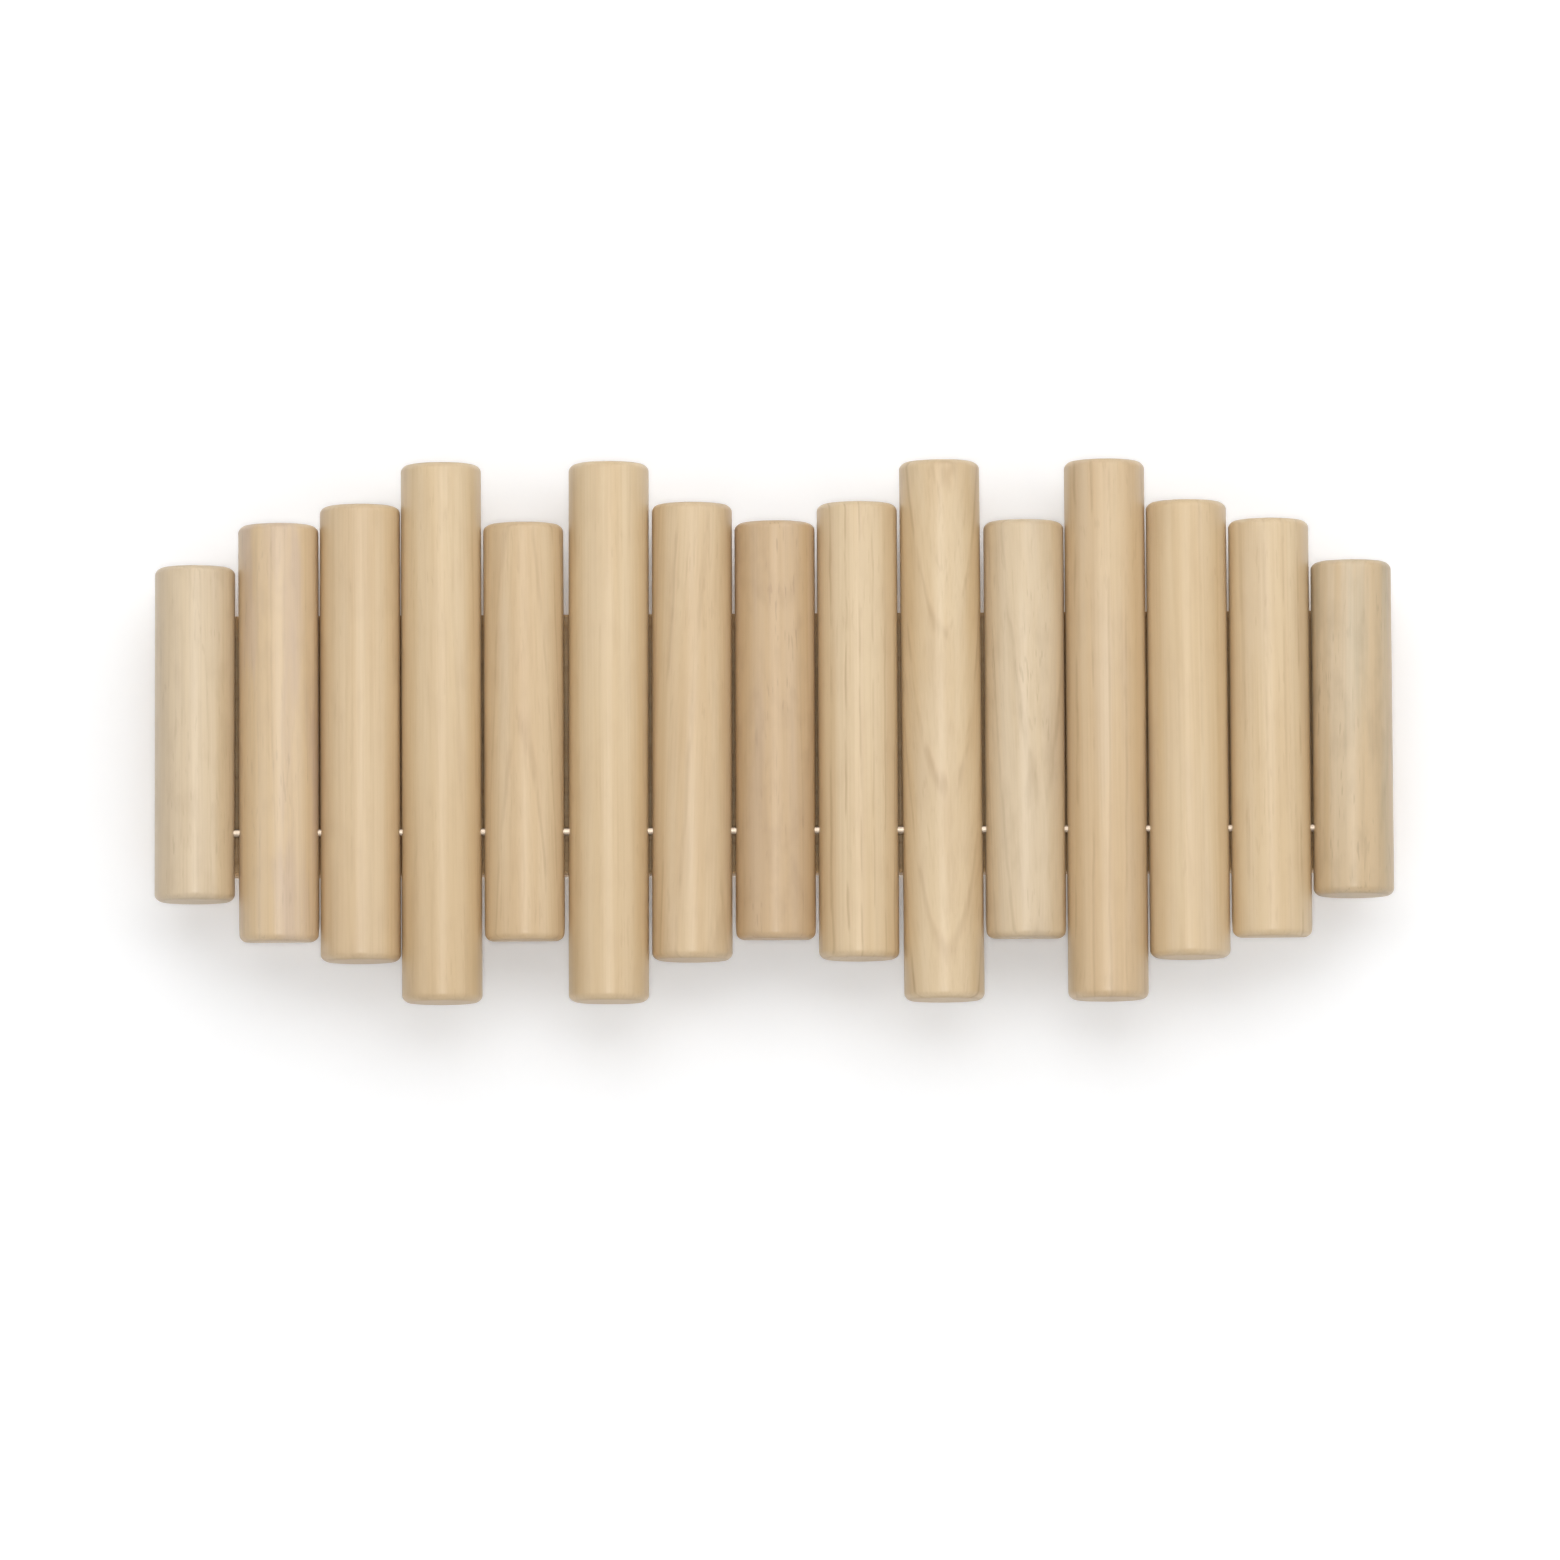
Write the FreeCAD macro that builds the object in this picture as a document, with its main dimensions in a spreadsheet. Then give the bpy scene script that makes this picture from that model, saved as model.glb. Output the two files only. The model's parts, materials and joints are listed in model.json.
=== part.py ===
"""Wall rack of fifteen upright wooden dowels, in millimetres.

Ten dowels are screwed to a backboard. The other five, all of one length, turn on a steel rod that
runs through the whole row: their tops tip forward to make hooks, and a sloped flat behind each tail
meets the board to stop them. The rack hangs on two keyhole plates let into the back of the board.

The frame: +Z is up, +X is to the right along the row, and the dowels face -Y. The origin is on the
wall, behind the middle of the row and level with the middle of every dowel.
"""

import FreeCAD
import Part
import Sketcher
import os
import re

SIZES = {
    "dowel_dia": (32, "diameter of every dowel"),
    "clear_gap": (0.9, "mean gap between neighbouring dowels"),
    "short_len": (133.5, "length of the two end dowels"),
    "hook_len": (167, "length of the five hook pegs"),
    "middle_len": (182, "length of the four middling dowels"),
    "long_len": (215, "length of the four longest dowels"),
    "end_round": (3, "radius round both ends of a dowel"),
    "seat_depth": (1, "depth of the flat milled along a dowel's back"),
    "rod_dia": (3.2, "diameter of the steel rod"),
    "rod_drop": (39.5, "rod's axis below the middle of the dowels"),
    "rod_offset": (2, "rod's axis in front of the dowels' own axes"),
    "rod_clear": (0.06, "room round the rod in every bore"),
    "rod_reach": (8, "rod's end past the axis of an end dowel"),
    "rod_room": (1, "room past the rod's end in its blind bore"),
    "rod_chamfer": (0.5, "chamfer at the rod's ends"),
    "hook_clear": (0.3, "room between a hook peg and the board"),
    "open_angle": (25, "degrees that a hook peg tips out"),
    "board_thick": (15, "thickness of the backboard"),
    "board_top": (49, "board's top edge above the middle of the dowels"),
    "board_bottom": (55, "board's bottom edge below the middle of the dowels"),
    "board_inset": (6, "board's end in from the outside of the end dowel"),
    "board_round": (1.5, "radius on the board's front edges and corners"),
    "dowel_screw_head": (8, "head diameter of a dowel screw"),
    "dowel_screw_shank": (4, "shank diameter of a dowel screw"),
    "dowel_screw_len": (32, "length of a dowel screw"),
    "dowel_screw_point": (5, "length of a dowel screw's point"),
    "dowel_screw_arm": (4.2, "span of the cross recess in its head"),
    "dowel_screw_slot": (1.1, "width of its cross recess"),
    "dowel_screw_recess": (1.7, "depth of its cross recess"),
    "screw_sink": (0.5, "depth of a dowel screw's head below the board's back"),
    "screw_clear": (0.2, "room round a dowel screw in the board"),
    "pilot_clear": (0.05, "room round any screw in the wood that it holds"),
    "pilot_room": (1, "room past any screw's point"),
    "upper_screw_down": (17, "upper dowel screw below the board's top edge"),
    "lower_screw_up": (17.5, "lower dowel screw above the rod"),
    "plate_inset": (37.1, "keyhole plate's middle in from the board's end"),
    "plate_down": (33, "keyhole plate's middle below the board's top edge"),
    "plate_wide": (16, "width of a keyhole plate"),
    "plate_len": (44, "length of a keyhole plate"),
    "plate_thick": (1.5, "thickness of a keyhole plate"),
    "plate_clear": (0.1, "room round a keyhole plate in its recess"),
    "keyhole_entry": (9.5, "diameter of the keyhole's round entry"),
    "keyhole_slot": (5, "width of the keyhole's slot"),
    "keyhole_travel": (12, "distance from the entry's middle to the slot's end"),
    "keyhole_rise": (7, "slot's end above the plate's middle"),
    "cavity_wide": (11, "width of the room for the wall screw's head"),
    "cavity_depth": (8, "depth of that room from the board's back"),
    "plate_screw_spacing": (33, "distance between the two screws of one plate"),
    "plate_screw_head": (5, "head diameter of a plate screw"),
    "plate_screw_shank": (2.5, "shank diameter of a plate screw"),
    "plate_screw_len": (12, "length of a plate screw"),
    "plate_screw_point": (3, "length of a plate screw's point"),
    "plate_screw_arm": (2.8, "span of the cross recess in its head"),
    "plate_screw_slot": (0.7, "width of its cross recess"),
    "plate_screw_recess": (0.9, "depth of its cross recess"),
    "overrun": (2, "how far a cut passes the wood that it cuts"),
}

# Each dowel from the left: its length, its shift to the right of an even pitch at the rod, and how
# far its top leans to the left from there. Both are shares of the clear gap, as the wood hangs.
ROW_SHARES = (
    ("short_len", 0.00, -0.63),
    ("hook_len", 0.75, 0.29),
    ("middle_len", 0.35, 0.31),
    ("long_len", -0.30, 0.34),
    ("hook_len", -0.44, 0.14),
    ("long_len", 0.18, -0.86),
    ("middle_len", 0.35, -1.15),
    ("hook_len", 0.75, -0.50),
    ("middle_len", 0.80, -0.38),
    ("long_len", 1.75, 1.29),
    ("hook_len", 1.47, 0.19),
    ("long_len", 1.12, 0.52),
    ("middle_len", 0.92, 1.02),
    ("hook_len", 0.48, 0.50),
    ("short_len", 0.04, -0.17),
)
FIRST = 1
LAST = len(ROW_SHARES)
MIDDLE = (FIRST + LAST) / 2
COUNTERSINK = 90

AXIS_DEPTH = "(board_thick + dowel_dia / 2 - seat_depth)"
PITCH = "(dowel_dia + clear_gap)"
HOOK_BACK = "(dowel_dia / 2 - seat_depth - hook_clear)"
HEEL_RADIUS = "(dowel_dia / 2 - seat_depth - hook_clear + rod_offset)"
PLATE_LEVEL = "(board_top - plate_down)"
SCREW_RISES = ("(board_top - upper_screw_down + rod_drop)", "lower_screw_up")
BOARD_HALF = f"({MIDDLE - FIRST} * {PITCH} + dowel_dia / 2 - board_inset)"
SIDES = {"left": f"(plate_inset - {BOARD_HALF})", "right": f"({BOARD_HALF} - plate_inset)"}
ENDS = {"upper": "plate_screw_spacing / 2", "lower": "-plate_screw_spacing / 2"}

X_AXIS = FreeCAD.Vector(1, 0, 0)
Y_AXIS = FreeCAD.Vector(0, 1, 0)
Z_AXIS = FreeCAD.Vector(0, 0, 1)

doc = FreeCAD.newDocument("dowel_rack")
sheet = doc.addObject("Spreadsheet::Sheet", "Sizes")
cells = set()
sub_parts = []


def fill_sheet():
    """Writes every driving dimension into the sheet, one row each, with its note beside it."""
    rows = [(name, value, note) for name, (value, note) in SIZES.items()]
    for n, (_, place_share, lean_share) in enumerate(ROW_SHARES, FIRST):
        rows.append((f"place_share_{n:02d}", place_share, "shift to the right at the rod"))
        rows.append((f"lean_share_{n:02d}", lean_share, "lean of the top to the left"))
    for row, (name, value, note) in enumerate(rows, 1):
        sheet.set(f"A{row}", str(value))
        sheet.setAlias(f"A{row}", name)
        sheet.set(f"B{row}", note)
        cells.add(name)
    doc.recompute()


def formula(text):
    """Puts the sheet's name before each of its cells in an expression."""
    return re.sub(r"[a-z]\w*", lambda word: ("Sizes." if word[0] in cells else "") + word[0], text)


def number(text):
    """The present value of an expression, in millimetres or degrees."""
    found = sheet.evalExpression(formula(text))
    return float(getattr(found, "Value", found))


def bind(thing, **sizes):
    """Ties properties to expressions; two underscores in a name stand for a full stop."""
    for path, text in sizes.items():
        thing.setExpression(path.replace("__", "."), formula(text))


def turned_about(axis):
    """A placement that keeps its axis for an angle that is bound to an expression afterwards."""
    some_angle = 1
    return FreeCAD.Placement(FreeCAD.Vector(), FreeCAD.Rotation(axis, some_angle))


def new_body(name, node=True):
    """Makes a body, which is exported under its label unless it is only a pattern for copies."""
    body = doc.addObject("PartDesign::Body", name)
    body.Label = name
    if node:
        sub_parts.append(body)
    return body


def new_sketch(body, name, plane):
    """Makes a sketch on one of the body's own planes."""
    sketch = body.newObject("Sketcher::SketchObject", f"{body.Name}_{name}")
    planes = {feature.Role: feature for feature in body.Origin.OriginFeatures}
    sketch.AttachmentSupport = (planes[plane], [""])
    sketch.MapMode = "FlatFace"
    return sketch


def measure(sketch, kind, refs, text):
    """Adds a dimension to a sketch and ties it to an expression."""
    index = sketch.addConstraint(Sketcher.Constraint(kind, *refs, number(text)))
    sketch.setExpression(f"Constraints[{index}]", formula(text))


def locate(sketch, shape, point, across, up):
    """Fixes one point of a sketch from its origin."""
    measure(sketch, "DistanceX", (-1, 1, shape, point), across)
    measure(sketch, "DistanceY", (-1, 1, shape, point), up)


def draw_circle(sketch, across, up, radius):
    """Draws a circle whose centre and radius are expressions."""
    centre = FreeCAD.Vector(number(across), number(up), 0)
    shape = sketch.addGeometry(Part.Circle(centre, Z_AXIS, number(radius)))
    locate(sketch, shape, 3, across, up)
    measure(sketch, "Radius", (shape,), radius)


def spot(corner):
    """The point that a pair of expressions gives in a sketch."""
    return FreeCAD.Vector(number(corner[0]), number(corner[1]), 0)


def draw_outline(sketch, corners, arcs=None):
    """Draws a closed outline through corners, each a pair of expressions: across, and up.

    arcs gives, by the number of the corner where it starts, the centre of each arc. An arc turns
    clockwise to the next corner, whose height alone then fixes it. Every other side is straight.
    """
    arcs = arcs or {}
    sides = []
    for n, corner in enumerate(corners):
        start = spot(corner)
        end = spot(corners[(n + 1) % len(corners)])
        if n in arcs:
            centre = spot(arcs[n])
            circle = Part.Circle(centre, Z_AXIS, centre.distanceToPoint(start))
            arc = Part.ArcOfCircle(circle, circle.parameter(end), circle.parameter(start))
            sides.append((sketch.addGeometry(arc), 2, 1))
        else:
            sides.append((sketch.addGeometry(Part.LineSegment(start, end)), 1, 2))
    for n, (side, start, _) in enumerate(sides):
        before, _, end = sides[n - 1]
        sketch.addConstraint(Sketcher.Constraint("Coincident", before, end, side, start))
        if (n - 1) % len(corners) in arcs:
            measure(sketch, "DistanceY", (-1, 1, side, start), corners[n][1])
        else:
            locate(sketch, side, start, *corners[n])
        if n in arcs:
            locate(sketch, side, 3, *arcs[n])


def draw_slot(sketch, across, low, high, radius):
    """Draws an upright slot with round ends, from its lower to its upper centre."""
    left = f"{across} - {radius}"
    right = f"{across} + {radius}"
    corners = ((left, high), (right, high), (right, low), (left, low))
    draw_outline(sketch, corners, {0: (across, high), 2: (across, low)})


def add_pad(body, sketch, length, both=False):
    """Pads a sketch by an expression, to one side or shared between both."""
    pad = body.newObject("PartDesign::Pad", sketch.Name + "_pad")
    pad.Profile = sketch
    pad.SideType = "Symmetric" if both else "One side"
    bind(pad, Length=length)
    doc.recompute()
    return pad


def add_pocket(body, sketch, depth=None, reverse=False, both=False):
    """Cuts a sketch away, to a depth or right through, and makes sure that it took wood away."""
    before = body.Shape.Volume
    pocket = body.newObject("PartDesign::Pocket", sketch.Name + "_pocket")
    pocket.Profile = sketch
    pocket.SideType = "Symmetric" if both else "One side"
    pocket.Reversed = reverse
    if depth is None:
        pocket.Type = "ThroughAll"
    else:
        bind(pocket, Length=depth)
    doc.recompute()
    if body.Shape.Volume >= before:
        raise RuntimeError(f"{pocket.Name} cuts nothing")


def add_sunk_holes(body, sketch, shank, head):
    """Drills a countersunk hole right through at each circle of a sketch, from the wall's side."""
    doc.recompute()
    before = body.Shape.Volume
    hole = body.newObject("PartDesign::Hole", sketch.Name + "_hole")
    hole.Profile = sketch
    hole.Reversed = True
    hole.ThreadType = "None"
    hole.DepthType = "ThroughAll"
    hole.DrillPoint = "Flat"
    hole.HoleCutType = "Countersink"
    hole.HoleCutCustomValues = True
    hole.HoleCutCountersinkAngle = COUNTERSINK
    bind(hole, Diameter=shank, HoleCutDiameter=head)
    doc.recompute()
    if body.Shape.Volume >= before:
        raise RuntimeError(f"{hole.Name} cuts nothing")


def add_fillet(body, feature, name, radius, wanted):
    """Rounds the edges of a feature that wanted picks."""
    edges = [f"Edge{n}" for n, edge in enumerate(feature.Shape.Edges, 1) if wanted(edge)]
    fillet = body.newObject("PartDesign::Fillet", f"{body.Name}_{name}")
    fillet.Base = (feature, edges)
    bind(fillet, Radius=radius)
    doc.recompute()


def is_round(edge):
    """Whether an edge is an arc or a circle."""
    return isinstance(edge.Curve, Part.Circle)


def is_in_front(edge):
    """Whether an edge of the board reaches its front."""
    return edge.BoundBox.YMin < -number("board_thick / 2")


def lean_sine(n):
    """The sine of a dowel's lean, from the sideways travel of its top."""
    length = ROW_SHARES[n - FIRST][0]
    return f"(lean_share_{n:02d} * clear_gap / ({length} / 2 + rod_drop))"


def row_place(n):
    """A dowel's place along the row at the level of the rod."""
    return f"({n - MIDDLE} * {PITCH} + place_share_{n:02d} * clear_gap)"


def screw_place(n, rise):
    """Where a screw of a leaning dowel stands on the board: across, and up."""
    across = f"{row_place(n)} - {rise} * {lean_sine(n)}"
    up = f"{rise} * cos(asin({lean_sine(n)})) - rod_drop"
    return across, up


def make_dowel(n):
    """Makes one dowel, fixed or hooked, in a frame whose origin is on its axis level with the rod."""
    length = ROW_SHARES[n - FIRST][0]
    hooked = length == "hook_len"
    body = new_body(f"hook_{n:02d}" if hooked else f"dowel_{n:02d}")
    top = f"(rod_drop + {length} / 2)"
    bottom = f"(rod_drop - {length} / 2)"

    section = new_sketch(body, "section", "XY_Plane")
    bind(section, AttachmentOffset__Base__z=bottom)
    draw_circle(section, "0", "0", "dowel_dia / 2")
    stick = add_pad(body, section, length)
    add_fillet(body, stick, "ends", "end_round", is_round)

    side = new_sketch(body, "back", "YZ_Plane")
    if hooked:
        draw_hook_back(side, top, bottom)
    else:
        draw_seat(side, top, bottom)
    add_pocket(body, side, both=True)

    bore_for_rod(body, n)
    if not hooked:
        drill_pilots(body)

    lean = f"asin({lean_sine(n)})"
    body.Placement = turned_about(-Y_AXIS)
    bind(body, Placement__Base__x=row_place(n), Placement__Base__y=f"-{AXIS_DEPTH}")
    bind(body, Placement__Base__z="-rod_drop", Placement__Rotation__Angle=lean)


def draw_seat(sketch, top, bottom):
    """Draws what the saw takes off a fixed dowel's back, which leaves a flat from end to end."""
    flat = "dowel_dia / 2 - seat_depth"
    beyond = "dowel_dia / 2 + overrun"
    high = f"{top} + overrun"
    low = f"{bottom} - overrun"
    draw_outline(sketch, ((flat, low), (flat, high), (beyond, high), (beyond, low)))


def draw_hook_back(sketch, top, bottom):
    """Draws what comes off a hook peg's back.

    The flat above the rod stays clear of the board, the heel below it is round about the rod, and
    the relief runs down from the heel at the angle at which the peg stands when it is open.
    """
    beyond = "dowel_dia / 2 + overrun"
    high = f"{top} + overrun"
    low = f"({bottom} - overrun)"
    heel_out = f"({HEEL_RADIUS} * cos(open_angle * 1 deg) - rod_offset)"
    heel_up = f"(-{HEEL_RADIUS} * sin(open_angle * 1 deg))"
    foot = f"{heel_out} - ({heel_up} - {low}) * tan(open_angle * 1 deg)"
    corners = (
        (HOOK_BACK, high),
        (HOOK_BACK, "0"),
        (heel_out, heel_up),
        (foot, low),
        (beyond, low),
        (beyond, high),
    )
    draw_outline(sketch, corners, {1: ("-rod_offset", "0")})


def bore_for_rod(body, n):
    """Bores a dowel for the rod, level and square to the wall however the dowel leans.

    The end dowels are bored from their inner side only, so that they hide the rod's ends.
    """
    sketch = new_sketch(body, "bore", "YZ_Plane")
    sketch.AttachmentOffset = turned_about(X_AXIS)
    bind(sketch, AttachmentOffset__Rotation__Angle=f"asin({lean_sine(n)})")
    draw_circle(sketch, "-rod_offset", "0", "rod_dia / 2 + rod_clear")
    if n in (FIRST, LAST):
        outward = -1 if n == FIRST else 1
        reach = f"({outward} * (rod_reach + rod_room) - place_share_{n:02d} * clear_gap)"
        bind(sketch, AttachmentOffset__Base__y=f"-{reach} * {lean_sine(n)}")
        bind(sketch, AttachmentOffset__Base__z=f"{reach} * cos(asin({lean_sine(n)}))")
        add_pocket(body, sketch, reverse=n == FIRST)
    else:
        add_pocket(body, sketch, both=True)


def drill_pilots(body):
    """Drills the two holes in a fixed dowel's back for the screws that come through the board."""
    sketch = new_sketch(body, "pilots", "XZ_Plane")
    tip = f"(screw_sink + dowel_screw_len + pilot_room - {AXIS_DEPTH})"
    bind(sketch, AttachmentOffset__Base__z=tip)
    for rise in SCREW_RISES:
        draw_circle(sketch, "0", rise, "dowel_screw_shank / 2 + pilot_clear")
    add_pocket(body, sketch)


def make_rod():
    """Makes the steel rod, chamfered at both ends."""
    body = new_body("pivot_rod")
    section = new_sketch(body, "section", "YZ_Plane")
    draw_circle(section, "0", "0", "rod_dia / 2")
    bar = add_pad(body, section, f"{LAST - FIRST} * {PITCH} + 2 * rod_reach", both=True)
    chamfer = body.newObject("PartDesign::Chamfer", "pivot_rod_ends")
    chamfer.Base = (bar, [f"Edge{n}" for n, e in enumerate(bar.Shape.Edges, 1) if is_round(e)])
    bind(chamfer, Size="rod_chamfer")
    bind(body, Placement__Base__y=f"-({AXIS_DEPTH} + rod_offset)", Placement__Base__z="-rod_drop")


def make_backboard():
    """Makes the board: its blank, the dowel screws' holes and the two seats for keyhole plates."""
    body = new_body("backboard")
    face = new_sketch(body, "face", "XZ_Plane")
    corners = (
        (f"-{BOARD_HALF}", "-board_bottom"),
        (f"-{BOARD_HALF}", "board_top"),
        (BOARD_HALF, "board_top"),
        (BOARD_HALF, "-board_bottom"),
    )
    draw_outline(face, corners)
    blank = add_pad(body, face, "board_thick")
    add_fillet(body, blank, "edges", "board_round", is_in_front)

    holes = new_sketch(body, "screw_holes", "XZ_Plane")
    for n, (length, _, _) in enumerate(ROW_SHARES, FIRST):
        if length != "hook_len":
            for rise in SCREW_RISES:
                draw_circle(holes, *screw_place(n, rise), "dowel_screw_shank / 2 + screw_clear")
    shank = "dowel_screw_shank + 2 * screw_clear"
    add_sunk_holes(body, holes, shank, "dowel_screw_head + 2 * screw_sink")

    seats = new_sketch(body, "plate_seats", "XZ_Plane")
    cavities = new_sketch(body, "head_cavities", "XZ_Plane")
    pilots = new_sketch(body, "plate_pilots", "XZ_Plane")
    end = "(plate_len - plate_wide) / 2"
    slot_end = f"({PLATE_LEVEL} + keyhole_rise)"
    for across in SIDES.values():
        low = f"{PLATE_LEVEL} - {end}"
        high = f"{PLATE_LEVEL} + {end}"
        draw_slot(seats, across, low, high, "(plate_wide / 2 + plate_clear)")
        draw_slot(cavities, across, f"{slot_end} - keyhole_travel", slot_end, "cavity_wide / 2")
        for rise in ENDS.values():
            up = f"{PLATE_LEVEL} + {rise}"
            draw_circle(pilots, across, up, "plate_screw_shank / 2 + pilot_clear")
    add_pocket(body, seats, "plate_thick", reverse=True)
    add_pocket(body, cavities, "cavity_depth", reverse=True)
    add_pocket(body, pilots, "plate_screw_len + pilot_room", reverse=True)


def make_plate(side):
    """Makes one keyhole plate, with its keyhole and two countersunk holes."""
    body = new_body(f"keyhole_plate_{side}")
    blank = new_sketch(body, "blank", "XZ_Plane")
    end = "(plate_len - plate_wide) / 2"
    draw_slot(blank, "0", f"-{end}", end, "plate_wide / 2")
    add_pad(body, blank, "plate_thick")

    entry = new_sketch(body, "entry", "XZ_Plane")
    draw_circle(entry, "0", "keyhole_rise - keyhole_travel", "keyhole_entry / 2")
    add_pocket(body, entry, reverse=True)
    slot = new_sketch(body, "slot", "XZ_Plane")
    low = "keyhole_rise - keyhole_travel"
    draw_slot(slot, "0", low, "keyhole_rise", "keyhole_slot / 2")
    add_pocket(body, slot, reverse=True)

    holes = new_sketch(body, "holes", "XZ_Plane")
    for rise in ENDS.values():
        draw_circle(holes, "0", rise, "plate_screw_shank / 2 + pilot_clear")
    add_sunk_holes(body, holes, "plate_screw_shank + 2 * pilot_clear", "plate_screw_head")
    bind(body, Placement__Base__x=SIDES[side], Placement__Base__z=PLATE_LEVEL)


def make_screw(kind):
    """Makes one countersunk screw as a pattern for copies: its head's top at the origin, facing +Y."""
    body = new_body(kind, node=False)
    profile = new_sketch(body, "profile", "XY_Plane")
    head = f"{kind}_head / 2"
    shank = f"{kind}_shank / 2"
    corners = (
        ("0", "0"),
        (head, "0"),
        (shank, f"{shank} - {head}"),
        (shank, f"{kind}_point - {kind}_len"),
        ("0", f"-{kind}_len"),
    )
    draw_outline(profile, corners)
    turned = body.newObject("PartDesign::Revolution", f"{kind}_turned")
    turned.Profile = profile
    turned.ReferenceAxis = (profile, ["V_Axis"])
    doc.recompute()

    cross = new_sketch(body, "cross", "XZ_Plane")
    arm = f"{kind}_arm / 2"
    slot = f"{kind}_slot / 2"
    quarter = ((slot, arm), (slot, slot), (arm, slot))
    corners = list(quarter)
    corners += [(x, f"-{z}") for x, z in reversed(quarter)]
    corners += [(f"-{x}", f"-{z}") for x, z in quarter]
    corners += [(f"-{x}", z) for x, z in reversed(quarter)]
    draw_outline(cross, corners)
    add_pocket(body, cross, f"{kind}_recess", reverse=True)
    return body


def copy_screw(pattern, name, across, back, up):
    """Places one copy of a screw."""
    link = doc.addObject("App::Link", name)
    link.LinkedObject = pattern
    bind(link, Placement__Base__x=across, Placement__Base__y=back, Placement__Base__z=up)
    return link


def group_screws(name, copies):
    """Gathers copies of one screw in one node."""
    group = doc.addObject("Part::Compound", name)
    group.Label = name
    group.Links = copies
    sub_parts.append(group)


def make_dowel_screws():
    """Makes the screws that hold the fixed dowels, two to each."""
    pattern = make_screw("dowel_screw")
    copies = []
    for n, (length, _, _) in enumerate(ROW_SHARES, FIRST):
        if length != "hook_len":
            for end, rise in zip(ENDS, SCREW_RISES):
                across, up = screw_place(n, rise)
                name = f"dowel_screw_{n:02d}_{end}"
                copies.append(copy_screw(pattern, name, across, "-screw_sink", up))
    group_screws("dowel_screws", copies)


def make_plate_screws():
    """Makes the screws that hold the keyhole plates, two to each."""
    pattern = make_screw("plate_screw")
    copies = []
    for side, across in SIDES.items():
        for end, rise in ENDS.items():
            name = f"plate_screw_{side}_{end}"
            copies.append(copy_screw(pattern, name, across, "0", f"{PLATE_LEVEL} + {rise}"))
    group_screws("plate_screws", copies)


def check_document():
    """Stops if any object failed to compute or any sub-part isn't whole."""
    for thing in doc.Objects:
        if "Invalid" in thing.State or "Error" in thing.State:
            raise RuntimeError(f"{thing.Name} failed: {thing.State}")
    for part in sub_parts:
        if part.Shape.isNull() or not part.Shape.isValid():
            raise RuntimeError(f"{part.Label} isn't a valid shape")


def main():
    """Builds every sub-part and writes each to its own file."""
    fill_sheet()
    make_backboard()
    for n in range(FIRST, LAST + 1):
        make_dowel(n)
    make_rod()
    for side in SIDES:
        make_plate(side)
    make_dowel_screws()
    make_plate_screws()
    doc.recompute()
    check_document()
    os.makedirs("parts", exist_ok=True)
    for part in sub_parts:
        part.Shape.exportStep(f"parts/{part.Label}.step")
        print(part.Label, len(part.Shape.Solids), "solids", round(part.Shape.Volume), "mm3")


main()
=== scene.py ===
"""A wall rack of fifteen upright dowels, five of which tip out as coat hooks, in a pale studio.

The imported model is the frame. Every length is in metres in its axes: +Z is up, +X runs along the
row to the right, the dowels face -Y, and the origin is on the wall behind the middle of the row.
"""

import json
import logging
import math
from collections.abc import Sequence
from dataclasses import dataclass, field
from enum import Enum

import bmesh
import bpy
from mathutils import Matrix, Vector

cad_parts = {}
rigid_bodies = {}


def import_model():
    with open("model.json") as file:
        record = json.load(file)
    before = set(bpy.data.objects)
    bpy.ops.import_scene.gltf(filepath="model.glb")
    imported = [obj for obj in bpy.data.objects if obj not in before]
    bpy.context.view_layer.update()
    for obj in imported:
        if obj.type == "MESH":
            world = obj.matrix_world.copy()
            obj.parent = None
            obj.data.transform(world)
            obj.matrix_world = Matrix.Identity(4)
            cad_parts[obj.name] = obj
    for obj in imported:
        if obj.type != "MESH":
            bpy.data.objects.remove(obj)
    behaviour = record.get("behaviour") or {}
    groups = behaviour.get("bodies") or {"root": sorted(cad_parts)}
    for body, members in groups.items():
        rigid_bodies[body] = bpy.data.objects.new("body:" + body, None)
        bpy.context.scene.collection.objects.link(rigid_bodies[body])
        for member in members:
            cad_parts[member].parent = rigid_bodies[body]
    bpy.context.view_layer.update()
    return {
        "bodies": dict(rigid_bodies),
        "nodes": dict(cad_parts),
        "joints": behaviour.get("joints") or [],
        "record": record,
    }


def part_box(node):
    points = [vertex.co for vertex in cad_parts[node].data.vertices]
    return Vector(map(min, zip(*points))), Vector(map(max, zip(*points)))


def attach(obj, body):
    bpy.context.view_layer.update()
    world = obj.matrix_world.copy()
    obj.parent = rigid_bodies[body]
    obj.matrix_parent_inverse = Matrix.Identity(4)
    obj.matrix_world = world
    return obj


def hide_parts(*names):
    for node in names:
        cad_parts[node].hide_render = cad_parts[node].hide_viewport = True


log = logging.getLogger("dowel_rack")

MM = 0.001
FULL_TURN = 2 * math.pi
QUARTER_TURN = math.pi / 2
SHARP = math.radians(14)
MERGE = 0.001 * MM

Colour = tuple[float, float, float]
Pair = tuple[float, float]
Socket = bpy.types.NodeSocket
Feed = float | int | bool | tuple | Vector | Socket


def plain(colour: Colour) -> tuple[float, float, float, float]:
    """Gives a colour the opaque fourth number that sockets want."""
    return (*colour, 1.0)


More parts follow.
